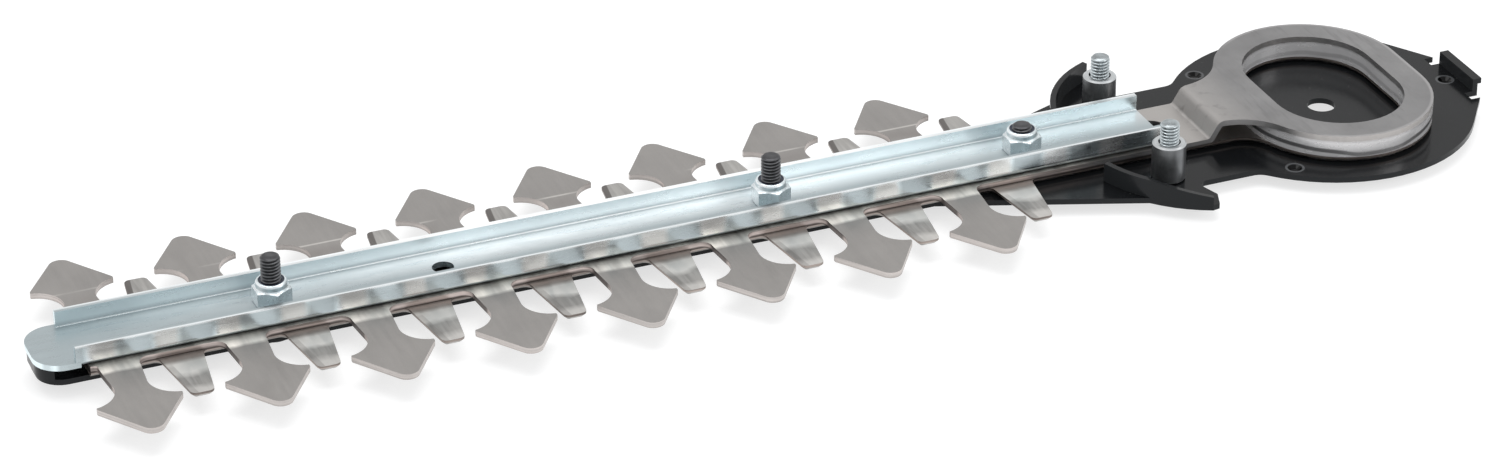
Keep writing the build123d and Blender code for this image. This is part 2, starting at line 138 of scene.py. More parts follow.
class BladeFinishSettings(bpy.types.PropertyGroup):
    zinc: bpy.props.FloatVectorProperty(
        name="Zinc", description="Colour of the bright zinc plate on the guide channel",
        default=(0.665, 0.755, 0.785), size=3, subtype="COLOR", min=0, max=1)
    nut_zinc: bpy.props.FloatVectorProperty(
        name="Nut zinc", description="Colour of the zinc plate on the lock nuts",
        default=(0.64, 0.70, 0.725), size=3, subtype="COLOR", min=0, max=1)
    tooth_steel: bpy.props.FloatVectorProperty(
        name="Tooth steel", description="Colour of the ground steel of the upper blade",
        default=(0.262, 0.250, 0.240), size=3, subtype="COLOR", min=0, max=1)
    cutter_steel: bpy.props.FloatVectorProperty(
        name="Cutter steel", description="Colour of the ground steel of the lower blade",
        default=(0.50, 0.485, 0.465), size=3, subtype="COLOR", min=0, max=1)
    ring_steel: bpy.props.FloatVectorProperty(
        name="Ring steel", description="Colour of the plain steel of the yoke ring",
        default=(0.222, 0.219, 0.220), size=3, subtype="COLOR", min=0, max=1)
    black_coat: bpy.props.FloatVectorProperty(
        name="Black coat", description="Colour of the black coat on the base plate",
        default=(0.0062, 0.0068, 0.0076), size=3, subtype="COLOR", min=0, max=1)
    black_oxide: bpy.props.FloatVectorProperty(
        name="Black oxide", description="Colour of the oxide finish of the blade bolts",
        default=(0.044, 0.044, 0.047), size=3, subtype="COLOR", min=0, max=1)
    sleeve_steel: bpy.props.FloatVectorProperty(
        name="Sleeve steel", description="Colour of the turned steel sleeves",
        default=(0.215, 0.222, 0.230), size=3, subtype="COLOR", min=0, max=1)


class BladeStageSettings(bpy.types.PropertyGroup):
    focal_length: bpy.props.FloatProperty(
        name="Focal length", description="Focal length of the camera on a 36 mm wide sensor",
        default=116.11, min=20, max=300, unit="CAMERA")
    background: bpy.props.FloatVectorProperty(
        name="Background", description="Colour that the camera sees behind the object",
        default=(1.0, 1.0, 1.0), size=3, subtype="COLOR", min=0, max=1)


# Node helpers

def tint(colour, factor):
    """Colour with each of its parts times a factor, and none above 1."""
    return tuple(min(1.0, part * factor) for part in colour)


def rgba(colour):
    """Colour with full alpha, or a socket as it is."""
    return colour if isinstance(colour, bpy.types.NodeSocket) else (*colour, 1.0)


class Shade:
    """A material with one Principled shader and short calls for the nodes in front of it."""

    def __init__(self, name, metallic=0.0, roughness=0.5, specular=0.5):
        self.material = bpy.data.materials.new(name)
        self.material.use_nodes = True
        self.tree = self.material.node_tree
        self.tree.nodes.clear()
        self.shader = self.node("ShaderNodeBsdfPrincipled")
        self.surface = self.node("ShaderNodeOutputMaterial").inputs["Surface"]
        self.feed(self.surface, self.shader.outputs["BSDF"])
        self.shader.inputs["Metallic"].default_value = metallic
        self.shader.inputs["Roughness"].default_value = roughness
        self.shader.inputs["Specular IOR Level"].default_value = specular
        self.object_place = self.node("ShaderNodeTexCoord").outputs["Object"]
        self.normal_parts = None

    def node(self, kind, **values):
        item = self.tree.nodes.new(kind)
        for key, value in values.items():
            setattr(item, key, value)
        return item

    def feed(self, socket, value):
        """Links another node's socket, or sets a constant."""
        if isinstance(value, bpy.types.NodeSocket):
            self.tree.links.new(value, socket)
        elif value is not None:
            socket.default_value = value

    def math(self, operation, a, b=None, c=None):
        item = self.node("ShaderNodeMath", operation=operation)
        for socket, value in zip(item.inputs, (a, b, c)):
            self.feed(socket, value)
        return item.outputs[0]

    def product(self, *factors):
        result = factors[0]
        for factor in factors[1:]:
            result = self.math("MULTIPLY", result, factor)
        return result

    def mix(self, factor, a, b):
        """Colour a where the factor is 0 and b where it is 1. Inputs 6 and 7 are the node's colours."""
        item = self.node("ShaderNodeMix", data_type="RGBA")
        self.feed(item.inputs[0], factor)
        self.feed(item.inputs[6], rgba(a))
        self.feed(item.inputs[7], rgba(b))
        return item.outputs[2]

    def cover(self, base, colour, mask, share):
        """Base with a colour laid over it where the mask is 1, as thick as the share says."""
        return self.mix(self.math("MULTIPLY", mask, share), base, colour)

    def span(self, value, low, high, to_low=0.0, to_high=1.0):
        """Straight ramp from to_low at value low to to_high at value high, held at both ends."""
        item = self.node("ShaderNodeMapRange", clamp=True)
        self.feed(item.inputs["Value"], value)
        ends = {"From Min": low, "From Max": high, "To Min": to_low, "To Max": to_high}
        for key, number in ends.items():
            item.inputs[key].default_value = number
        return item.outputs[0]

    def band(self, value, low, high, fade):
        """1 between low and high, and a ramp of length fade down to 0 on each side."""
        return self.product(self.span(value, low - fade, low), self.span(value, high + fade, high))

    def noise(self, scale, detail=3.0, stretch=(1, 1, 1), shift=(0, 0, 0), rough=0.5):
        """Noise whose cells are 1 / (scale * stretch) metres long along each axis."""
        mapping = self.node("ShaderNodeMapping")
        mapping.inputs["Scale"].default_value = stretch
        mapping.inputs["Location"].default_value = shift
        self.feed(mapping.inputs["Vector"], self.object_place)
        item = self.node("ShaderNodeTexNoise")
        item.inputs["Scale"].default_value = scale
        item.inputs["Detail"].default_value = detail
        item.inputs["Roughness"].default_value = rough
        self.feed(item.inputs["Vector"], mapping.outputs[0])
        return item.outputs["Fac"]

    def waver(self, value, noise, width):
        """Value that noise moves to and fro within a width, with the plain value in its middle."""
        return self.math("MULTIPLY_ADD", noise, width, self.math("SUBTRACT", value, 0.5 * width))

    def place(self):
        """X, Y and Z in the part's own frame."""
        item = self.node("ShaderNodeSeparateXYZ")
        self.feed(item.inputs[0], self.object_place)
        return item.outputs

    def normal(self):
        """X, Y and Z of the surface's normal."""
        if self.normal_parts is None:
            item = self.node("ShaderNodeSeparateXYZ")
            self.feed(item.inputs[0], self.node("ShaderNodeTexCoord").outputs["Normal"])
            self.normal_parts = item.outputs
        return self.normal_parts

    def wall(self):
        """1 on walls that stand upright, such as a sheet's cut edge, and 0 on flat and sloping faces."""
        return self.span(self.math("ABSOLUTE", self.normal()[2]), 0.40, 0.25)

    def distance_to(self, places):
        """Distance to the nearest of some places."""
        nearest = None
        for place in places:
            away = self.node("ShaderNodeVectorMath", operation="DISTANCE")
            self.feed(away.inputs[0], self.object_place)
            self.feed(away.inputs[1], place)
            distance = away.outputs["Value"]
            nearest = distance if nearest is None else self.math("MINIMUM", nearest, distance)
        return nearest

    def ring_distance(self):
        """Distance from the yoke's middle line, a straight of twice RING_STRAIGHT along Y."""
        x, y = self.place()[:2]
        past = self.math("MAXIMUM", self.math("SUBTRACT", self.math("ABSOLUTE", y), RING_STRAIGHT), 0.0)
        return self.math("SQRT", self.math("ADD", self.product(x, x), self.product(past, past)))

    def crest(self):
        """1 on the crests of a thread and 0 in its grooves, from the piece's own attribute."""
        return self.node("ShaderNodeAttribute", attribute_name="crest").outputs["Fac"]

    def cut_edge(self, dark, pale):
        """Colour of a stamped edge: layers that run along the sheet, with a few dark breaks."""
        layers = self.span(self.noise(34, 3, (1, 1, 52)), 0.38, 0.60)
        breaks = self.span(self.noise(130, 2, (1, 1, 0.2), (0.3, 0.3, 0)), 0.66, 0.74, 0.0, 0.5)
        return self.mix(breaks, self.mix(layers, tint(pale, 0.42), tint(pale, 1.08)), dark)

    def shade_seam(self, edge, away, reach, across):
        """Cut edge with painted shade up to a reach away from the other blade, and little of it on the
        teeth.
        """
        seam = self.product(self.span(away, reach, 0.1 * MM), self.span(across, 12 * MM, 10 * MM, 0.2, 1.0))
        return self.cover(edge, SEAM_SHADE, seam, 0.85)

    def bump(self, height, distance, strength):
        item = self.node("ShaderNodeBump")
        item.inputs["Distance"].default_value = distance
        item.inputs["Strength"].default_value = strength
        self.feed(item.inputs["Height"], height)
        self.feed(self.shader.inputs["Normal"], item.outputs[0])

    def paint(self, colour, roughness=None):
        self.feed(self.shader.inputs["Base Color"], rgba(colour))
        self.feed(self.shader.inputs["Roughness"], roughness)


def finish_node(node, material):
    """Puts a material into every slot of a CAD node."""
    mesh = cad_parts[node].data
    if not mesh.materials:
        mesh.materials.append(material)
    for index in range(len(mesh.materials)):
        mesh.materials[index] = material


# Finishes

def zinc_channel(colour):
    """Bright zinc plate on drawn sheet: painted light and shade across the floor, draw lines and painted
    shade in the bend.

    The outer walls are smudged with grey between painted highlights, and carry painted reflections of the
    teeth, pale and dark in turn at half the tooth pitch.
    """
    s = Shade("bright zinc plate", metallic=0.92, roughness=0.3)
    teeth_reflection_pale = (0.96, 0.94, 0.92)
    rim_highlight = (0.92, 0.95, 0.96)
    low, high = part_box("guide_bar")
    x, y, z = s.place()
    across = s.math("ABSOLUTE", y)
    side = s.wall()
    outer = s.math("MULTIPLY", side, s.span(across, high[1] - 0.5 * MM, high[1] - 0.2 * MM))

    # painted light and shade on the floor: lighter on the -Y side and towards the middle of its length
    drift = s.math("MULTIPLY_ADD", s.noise(28, 2, (1, 2, 2)), 3 * MM, y)
    light = s.product(
        s.span(drift, 2.6 * MM, -2.6 * MM),
        s.span(x, 52 * MM, 120 * MM, 0.35, 1.0),
        s.span(x, high[0] - 8 * MM, high[0] - 95 * MM),
    )
    lines = s.noise(24, 3, (1, 46, 46), (0.2, 0, 0))
    floor = s.mix(light, tint(colour, 0.54), tint(colour, 1.6))
    floor = s.mix(s.span(lines, 0.35, 0.75, 0.0, 0.12), floor, tint(colour, 0.66))
    inner = s.mix(s.span(s.noise(30, 3), 0.35, 0.65), tint(colour, 1.05), tint(colour, 1.28))

    # grey smudges on the outer walls, with painted highlights in the pale patches between them
    sheen_and_smudge = s.span(s.noise(52, 3, (1, 0.4, 2.6), (0.31, 0, 0), 0.35), 0.43, 0.52)
    streak = s.span(s.noise(30, 2, (1, 1, 20), (0.1, 0, 0.2)), 0.42, 0.62)
    smudged = s.mix(streak, tint(colour, 0.74), tint(colour, 0.95))
    outside = s.mix(sheen_and_smudge, tint(colour, 1.18), smudged)
    # painted reflections of the teeth: pale patches and darker gaps in turn at half the tooth pitch
    step = s.math("WRAP", s.math("SUBTRACT", x, TEETH_REFLECTION_START), 0.25 * TOOTH_PITCH, -0.25 * TOOTH_PITCH)
    teeth_reflection = s.waver(s.math("ABSOLUTE", step), s.noise(90, 2), 3 * MM)
    outside = s.mix(s.span(teeth_reflection, 3.6 * MM, 2.6 * MM, 0.0, 0.8), tint(colour, 0.72), outside)
    outside = s.mix(s.span(teeth_reflection, 3.0 * MM, 1.8 * MM, 0.0, 0.6), outside, teeth_reflection_pale)

    base = s.mix(side, floor, inner)
    base = s.mix(outer, base, outside)
    # painted highlight along the outer edge on top of each flange
    rim = s.product(
        s.span(z, high[2] - 0.35 * MM, high[2] - 0.15 * MM),
        s.span(across, high[1] - 0.65 * MM, high[1] - 0.35 * MM),
    )
    base = s.cover(base, rim_highlight, rim, 0.7)
    # painted shade along the bends where the floor meets the flanges
    bend = s.product(
        s.band(across, high[1] - 1.80 * MM, high[1] - 1.20 * MM, 0.6 * MM),
        s.span(z, low[2] + 2.4 * MM, low[2] + 1.5 * MM),
    )
    base = s.cover(base, tint(colour, 0.55), bend, 0.5)
    dull = s.span(s.noise(160, 3, (1, 6, 6)), 0.3, 0.7, 0.24, 0.40)
    s.paint(base, s.math("SUBTRACT", dull, s.math("MULTIPLY", outer, 0.08)))
    s.bump(lines, 0.015 * MM, 0.4)
    return s.material


def tooth_steel(colour, ring_colour):
    """Ground spring steel: soft clouds, a greyer ring, and painted highlights on the necks and along a fine
    crease on the teeth.

    Its cut edges show layers, with painted shade on the flanks in the undercuts and along the seam with the
    lower blade.
    """
    s = Shade("ground tooth steel", metallic=0.9, roughness=0.42)
    rolled_edge_highlight = (0.46, 0.45, 0.45)
    press_dark = (0.09, 0.085, 0.085)
    root_brown = (0.21, 0.18, 0.16)
    neck_highlight = (0.90, 0.86, 0.80)
    crease_highlight = (0.60, 0.58, 0.55)
    shade_brown = (0.17, 0.15, 0.14)
    break_dark = (0.13, 0.10, 0.09)
    layer_pale = (0.60, 0.52, 0.49)
    tip_pale = (0.62, 0.59, 0.57)
    undercut_shade = (0.045, 0.038, 0.035)
    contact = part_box("upper_blade")[0][2]
    x, y, z = s.place()
    across = s.math("ABSOLUTE", y)
    strip = s.span(x, YOKE_END - 6 * MM, YOKE_END)
    cloud = s.noise(70, 4, shift=(1.3, 0.2, 0), rough=0.6)
    grind = s.noise(90, 4, (14, 0.7, 1))
    base = s.mix(s.span(cloud, 0.3, 0.7), tint(colour, 0.93), tint(colour, 1.06))
    base = s.mix(s.span(grind, 0.35, 0.7, 0, 0.22), base, tint(colour, 1.2))
    base = s.mix(strip, tint(colour, 1.36), base)

    # the ring is scratched, has a painted highlight on its rolled edge, and has dark press marks where its
    # arm leaves it
    ring = s.mix(s.span(cloud, 0.3, 0.7), tint(ring_colour, 0.82), tint(ring_colour, 1.14))
    scratch = s.span(s.noise(75, 3, (9, 1, 1), (0.4, 0.8, 0), 0.65), 0.56, 0.68, 0.0, 0.30)
    ring = s.mix(scratch, ring, tint(ring_colour, 0.55))
    rolled = s.band(s.ring_distance(), RING_OUTER - 0.45 * MM, RING_OUTER, 0.3 * MM)
    ring = s.cover(ring, rolled_edge_highlight, rolled, s.span(x, 13 * MM, 9 * MM, 0.0, 0.4))
    base = s.mix(s.span(x, 34 * MM, 18 * MM), base, ring)
    spots = s.span(s.noise(300, 2, shift=(0.2, 0.6, 0)), 0.58, 0.7)
    base = s.cover(base, press_dark, s.product(s.band(x, 25 * MM, 33 * MM, 1.5 * MM), spots), 0.35)

    # painted highlight on each neck, and a little browner at its root
    drift = s.waver(across, s.noise(120, 2), 2 * MM)
    root = s.product(strip, s.span(drift, NECK_END - 2.6 * MM, NECK_END - 4.4 * MM))
    base = s.cover(base, root_brown, root, 0.12)
    glint = s.span(s.noise(60, 3, (5, 0.6, 1), (0.8, 0, 0)), 0.3, 0.6, 0.3, 1.0)
    neck = s.product(strip, glint, s.band(drift, NECK_END - 4.8 * MM, NECK_END - 1.2 * MM, 1.1 * MM))
    base = s.cover(base, neck_highlight, neck, 0.9)

    # on the -Y teeth a painted highlight marks a crease across the head, with painted shade on the inside of
    # it
    reach = s.span(s.noise(55, 2, (1, 0.4, 1), (0.35, 0, 0)), 0.40, 0.52)
    far = s.product(strip, reach, s.span(y, 0, -1 * MM))
    crease = s.product(far, s.band(across, HEAD_CREASE, HEAD_CREASE + 0.25 * MM, 0.25 * MM))
    base = s.cover(base, crease_highlight, crease, 0.55)
    shade = s.product(far, s.span(across, HEAD_CREASE, HEAD_CREASE - 3 * MM))
    base = s.cover(base, shade_brown, shade, 0.35)

    edge = s.mix(strip, tint(ring_colour, 1.5), s.cut_edge(break_dark, layer_pale))
    edge = s.mix(s.span(across, 16 * MM, 22 * MM, 0.0, 0.7), edge, tip_pale)
    # painted shade on the cut edges that face along X in the undercuts of the necks
    turned = s.span(s.math("ABSOLUTE", s.normal()[0]), 0.5, 0.8)
    flank = s.product(turned, strip, s.band(across, 10.5 * MM, 16 * MM, 1 * MM))
    edge = s.cover(edge, undercut_shade, flank, s.span(cloud, 0, 1, 0.6, 0.95))
    # painted shade along the seam with the lower blade
    edge = s.shade_seam(edge, s.math("SUBTRACT", z, contact), 0.45 * MM, across)
    s.paint(s.mix(s.wall(), base, edge), s.span(s.noise(130, 4, (6, 1, 1)), 0.3, 0.7, 0.38, 0.52))
    s.bump(s.noise(420, 2, (5, 0.5, 1)), 0.010 * MM, 0.4)
    return s.material


def cutter_steel(colour):
    """Lower blade: ground steel with wavy bands of painted light and shade on the +Y teeth and painted shade
    on a ground facet of every cutter.
    """
    s = Shade("ground cutter steel", metallic=0.9, roughness=0.36)
    root_brown = (0.20, 0.175, 0.16)
    facet_shade = (0.085, 0.075, 0.07)
    break_dark = (0.12, 0.10, 0.085)
    layer_pale = (0.42, 0.36, 0.33)
    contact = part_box("lower_blade")[1][2]
    x, y, z = s.place()
    across = s.math("ABSOLUTE", y)
    grind = s.noise(110, 4, (10, 0.8, 1), (0.4, 0, 0))
    plain = s.mix(s.span(s.noise(90, 3), 0.32, 0.68), tint(colour, 0.54), tint(colour, 0.68))
    # painted light and shade on the +Y teeth: a bright wavy band near the root and another towards the tips,
    # dark between
    wave = s.waver(across, s.noise(150, 3, shift=(0.5, 0, 0)), 5 * MM)
    low = s.span(wave, 16.4 * MM, 14.4 * MM)
    tip = s.span(wave, 19.6 * MM, 21.6 * MM, 0.0, 0.6)
    bands = s.mix(s.math("MAXIMUM", low, tip), tint(colour, 0.50), tint(colour, 1.28))
    base = s.mix(s.span(y, -1 * MM, 1 * MM), plain, bands)
    base = s.mix(s.span(grind, 0.35, 0.7, 0, 0.3), base, tint(colour, 1.25))
    base = s.mix(s.span(across, 11.6 * MM, 10.2 * MM, 0.0, 0.7), base, root_brown)

    # painted shade on a ground facet along the side of the tapered tooth that faces the tip, stronger on the
    # -Y cutters
    along = s.math("WRAP", s.math("SUBTRACT", x, FIRST_CUTTER), 0.5 * TOOTH_PITCH, -0.5 * TOOTH_PITCH)
    side = s.span(across, STRIP_HALF, CUTTER_TIP, CUTTER_ROOT_HALF, CUTTER_TIP_HALF)
    ground = s.span(s.math("SUBTRACT", along, side), -1.35 * MM, -1.15 * MM)
    facet = s.product(ground, s.span(across, 11 * MM, 12.5 * MM))
    base = s.cover(base, facet_shade, facet, s.span(y, 0, 1 * MM, 0.85, 0.3))

    edge = s.cut_edge(break_dark, layer_pale)
    # painted shade along the seam with the upper blade
    edge = s.shade_seam(edge, s.math("SUBTRACT", contact, z), 0.35 * MM, across)
    s.paint(s.mix(s.wall(), base, edge), s.span(s.noise(140, 4, (4, 1, 1)), 0.3, 0.7, 0.30, 0.46))
    s.bump(grind, 0.012 * MM, 0.5)
    return s.material


def yoke_steel(colour):
    """Plain steel of the thick ring: bright turned walls with painted shade in a low groove above a pale
    lower lip, and painted shade at their top.
    """
    s = Shade("plain yoke steel", metallic=0.4, roughness=0.26)
    bright = tint(colour, 3.6)
    brightest = tint(colour, 4.4)
    groove_shade = (0.030, 0.030, 0.031)
    under_plate_shade = (0.05, 0.045, 0.045)
    low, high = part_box("upper_yoke_ring")
    z = s.place()[2]
    side = s.wall()
    cloud = s.noise(60, 4, shift=(0.7, 0.1, 0), rough=0.6)
    lines = s.noise(200, 3, (0.3, 0.3, 8))
    base = s.mix(s.span(cloud, 0.34, 0.62), bright, brightest)
    base = s.cover(base, brightest, side, s.span(lines, 0.35, 0.65, 0.0, 0.3))
    outer = s.span(s.ring_distance(), RING_MIDDLE - 1 * MM, RING_MIDDLE + 1 * MM, 0.35, 1.0)
    # painted shade in a wavering groove low on the walls, strongest on the outside
    reach = s.span(s.noise(38, 2, (1, 1, 0.1), (0.2, 0, 0)), 0.36, 0.56)
    sway = s.math("MULTIPLY_ADD", reach, -0.9 * MM, z)
    groove = s.band(sway, low[2] + 0.3 * MM, low[2] + 0.9 * MM, 0.3 * MM)
    groove_shade_mask = s.product(side, groove, s.span(reach, 0, 1, 0.7, 1.0), outer)
    base = s.cover(base, groove_shade, groove_shade_mask, 0.85)
    # painted shade at the top of the walls, under the plate that lies on the ring
    under = s.product(side, s.span(z, high[2] - 0.5 * MM, high[2] - 0.1 * MM))
    base = s.cover(base, under_plate_shade, under, 0.25)
    s.paint(base, s.span(s.noise(180, 3, (1, 1, 4)), 0.3, 0.7, 0.18, 0.32))
    s.bump(lines, 0.01 * MM, 0.25)
    return s.material


def black_coat(colour):
    """Glossy black dipped coat on pressed sheet: faint orange peel, specks of dust, a painted sheen on
    upright faces.

    It has pooled in the dimples, which are glassy, with painted shade inside each and a painted highlight on
    its lip.
    """
    s = Shade("black coat", roughness=0.2, specular=0.15)
    dust_grey = (0.12, 0.12, 0.115)
    scuff_grey = (0.05, 0.05, 0.05)
    upright_sheen = (0.040, 0.043, 0.046)
    dimple_lip_highlight = (0.10, 0.103, 0.108)
    dimple_shade = (0.0008, 0.0008, 0.0009)
    pool_roughness = (0.07, 0.07, 0.07)
    dimple_radius = 1.6 * MM
    soft = s.noise(34, 3, shift=(0.5, 0.2, 0))
    dust = s.span(s.noise(1100, 2, shift=(0.1, 0.9, 0)), 0.69, 0.76)
    scuff = s.span(s.noise(200, 4, (1, 3, 1), (0.9, 0, 0), 0.6), 0.62, 0.74)
    base = s.mix(s.span(soft, 0.3, 0.7), tint(colour, 0.7), tint(colour, 1.3))
    base = s.cover(base, dust_grey, dust, 0.22)
    base = s.cover(base, scuff_grey, scuff, 0.10)
    # painted sheen: upright faces greyer and a little bluer
    base = s.cover(base, upright_sheen, s.wall(), 0.6)
    # painted shade inside each dimple, and a painted highlight on its lip
    nearest = s.distance_to(DIMPLES)
    pool = s.span(nearest, dimple_radius, dimple_radius - 0.3 * MM)
    lip = s.band(nearest, dimple_radius, dimple_radius + 0.3 * MM, 0.2 * MM)
    base = s.cover(base, dimple_lip_highlight, lip, s.span(soft, 0.3, 0.7, 0.5, 0.9))
    base = s.mix(pool, base, dimple_shade)
    s.paint(base, s.mix(pool, s.span(soft, 0.3, 0.7, 0.12, 0.22), pool_roughness))
    s.bump(s.noise(420, 2), 0.012 * MM, 0.3)
    return s.material


def oxide_black(colour):
    """Black oxide on the bolts: dark, with the crests of the thread worn to bare grey steel and a painted
    highlight on them.
    """
    s = Shade("black oxide", metallic=0.75, roughness=0.34)
    worn_crest_highlight = (0.20, 0.205, 0.215)
    worn = s.span(s.noise(900, 3), 0.35, 0.65, 0.55, 1.0)
    base = s.mix(worn, tint(colour, 0.6), tint(colour, 1.2))
    # crests paler: worn bare steel and a painted highlight
    base = s.cover(base, worn_crest_highlight, s.crest(), worn)
    s.paint(base, s.span(s.noise(500, 2), 0.3, 0.7, 0.30, 0.48))
    s.bump(s.noise(1800, 2), 0.01 * MM, 0.3)
    return s.material


def nut_zinc(colour):
    """Bright zinc on the nuts: clouded, a painted highlight on the flats that face +X and painted shade on
    those that face -X, and small dents from the spanner.
    """
    s = Shade("nut zinc", metallic=0.92, roughness=0.28)
    flat_highlight = (0.95, 0.97, 0.98)
    turned = s.normal()[0]
    base = s.mix(s.span(s.noise(420, 4), 0.35, 0.65), tint(colour, 0.84), tint(colour, 1.12))
    # painted highlight on flats that face +X, painted shade on flats that face -X
    base = s.mix(s.span(turned, 0.35, 0.75, 0.0, 0.7), base, flat_highlight)
    base = s.mix(s.span(turned, -0.35, -0.75, 0.0, 0.7), base, tint(colour, 0.45))
    s.paint(base, s.span(s.noise(600, 2, shift=(3, 0, 0)), 0.3, 0.7, 0.2, 0.38))
    s.bump(s.noise(700, 3), 0.03 * MM, 0.3)
    return s.material


def stud_zinc(colour):
    """Duller zinc on the two gearbox bolts: painted shade in the grooves and a painted highlight on the
    crests.
    """
    s = Shade("stud zinc", metallic=0.9, roughness=0.34)
    cloud = s.noise(500, 3)
    base = s.mix(s.span(cloud, 0.35, 0.65), tint(colour, 0.36), tint(colour, 0.60))
    # painted highlight on the crests, with the grooves left dark as painted shade
    base = s.mix(s.crest(), base, tint(colour, 1.02))
    s.paint(base, s.span(cloud, 0.3, 0.7, 0.24, 0.42))
    s.bump(s.noise(1500, 2), 0.01 * MM, 0.3)
    return s.material


def sleeve_steel(colour):
    """Turned steel sleeve: fine lines round it and a painted highlight on its upward faces."""
    s = Shade("turned sleeve steel", metallic=0.85, roughness=0.36)
    rim_highlight = (0.55, 0.57, 0.58)
    lines = s.noise(300, 3, (0.5, 0.5, 14))
    cloud = s.noise(260, 3, (1, 1, 0.6))
    base = s.mix(s.span(cloud, 0.32, 0.68), tint(colour, 0.75), tint(colour, 1.35))
    # painted highlight on the faces that point up
    base = s.cover(base, rim_highlight, s.span(s.normal()[2], 0.35, 0.65), 0.8)
    s.paint(base, s.span(lines, 0.3, 0.7, 0.28, 0.45))
    s.bump(lines, 0.015 * MM, 0.5)
    return s.material


def insert_plastic():
    """Dark blue-black polyamide ring of a lock nut."""
    s = Shade("nut ring plastic", roughness=0.5, specular=0.4)
    dark = (0.010, 0.014, 0.030)
    pale = (0.022, 0.030, 0.055)
    s.paint(s.mix(s.span(s.noise(900, 2), 0.3, 0.7), dark, pale))
    s.bump(s.noise(2500, 2), 0.01 * MM, 0.3)
    return s.material


def bush_steel(colour):
    """Hardened bushes: plain oiled steel."""
    s = Shade("oiled steel", metallic=0.9, roughness=0.35)
    cloud = s.noise(300, 3)
    base = s.mix(s.span(cloud, 0.35, 0.65), tint(colour, 0.7), tint(colour, 1.1))
    s.paint(base, s.span(cloud, 0.3, 0.7, 0.28, 0.42))
    s.bump(s.noise(900, 2, (1, 1, 5)), 0.01 * MM, 0.3)
    return s.material


# Surfaces

def lay_surface(name, points, closed_rows=False, first_pole=None, last_pole=None):
    """Mesh of a grid of points[row, column, xyz] that wraps round in its columns.

    The last row joins the first when closed_rows is true. Otherwise each end row closes on its pole.
    """
    rows, columns = points.shape[:2]
    vertices = points.reshape(-1, 3)
    column = np.arange(columns)[None, :]
    after = (column + 1) % columns
    row = np.arange(rows if closed_rows else rows - 1)[:, None]
    here = row * columns
    above = (row + 1) % rows * columns
    quads = np.stack([here + column, here + after, above + after, above + column], axis=-1)
    faces = quads.reshape(-1, 4).tolist()
    if first_pole is not None:
        pole = np.full(columns, len(vertices))
        vertices = np.vstack([vertices, first_pole])
        ring = np.arange(columns)
        faces += np.stack([pole, np.roll(ring, -1), ring], axis=-1).tolist()
    if last_pole is not None:
        pole = np.full(columns, len(vertices))
        vertices = np.vstack([vertices, last_pole])
        ring = (rows - 1) * columns + np.arange(columns)
        faces += np.stack([ring, np.roll(ring, -1), pole], axis=-1).tolist()
    mesh = bpy.data.meshes.new(name)
    mesh.from_pydata(vertices.tolist(), [], faces)
    mesh.shade_smooth()
    mesh.set_sharp_from_angle(angle=SHARP_ANGLE)
    mesh.validate()
    piece = bpy.data.objects.new(name, mesh)
    bpy.context.scene.collection.objects.link(piece)
    return piece


def angles_round(columns):
    """One row of angles, evenly spaced once round."""
    return np.linspace(0, 2 * math.pi, columns, endpoint=False)[None, :]


def quarter_turn(steps):
    """Angles from 0 to 90 degrees, evenly spaced."""
    return np.linspace(0, math.pi / 2, steps)


def split_rows(rows, columns):
    """Radius at each row and angle, and height at each row, from pairs of the two."""
    radius = np.vstack([np.broadcast_to(pair[0], (1, columns)) for pair in rows])
    height = np.array([pair[1] for pair in rows])
    return radius, height


def turned_grid(x, y, radius, height):
    """Points round the upright axis at x, y: x + r cos t, y + r sin t and a height for each row."""
    angle = angles_round(radius.shape[1])
    z = np.broadcast_to(height[:, None], radius.shape)
    return np.stack([x + radius * np.cos(angle), y + radius * np.sin(angle), z], axis=-1)


def hexagon_radius(angle, flats):
    """Distance from the axis to a hexagon's side: half its width over the cosine of the angle to a flat."""
    turned = (angle + math.pi / 6) % (math.pi / 3) - math.pi / 6
    return 0.5 * flats / np.cos(turned)


def upright_axis(node):
    """Middle of a round CAD node in X and Y, and its lowest and highest Z."""
    low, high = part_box(node)
    return 0.5 * (low[0] + high[0]), 0.5 * (low[1] + high[1]), low[2], high[2]


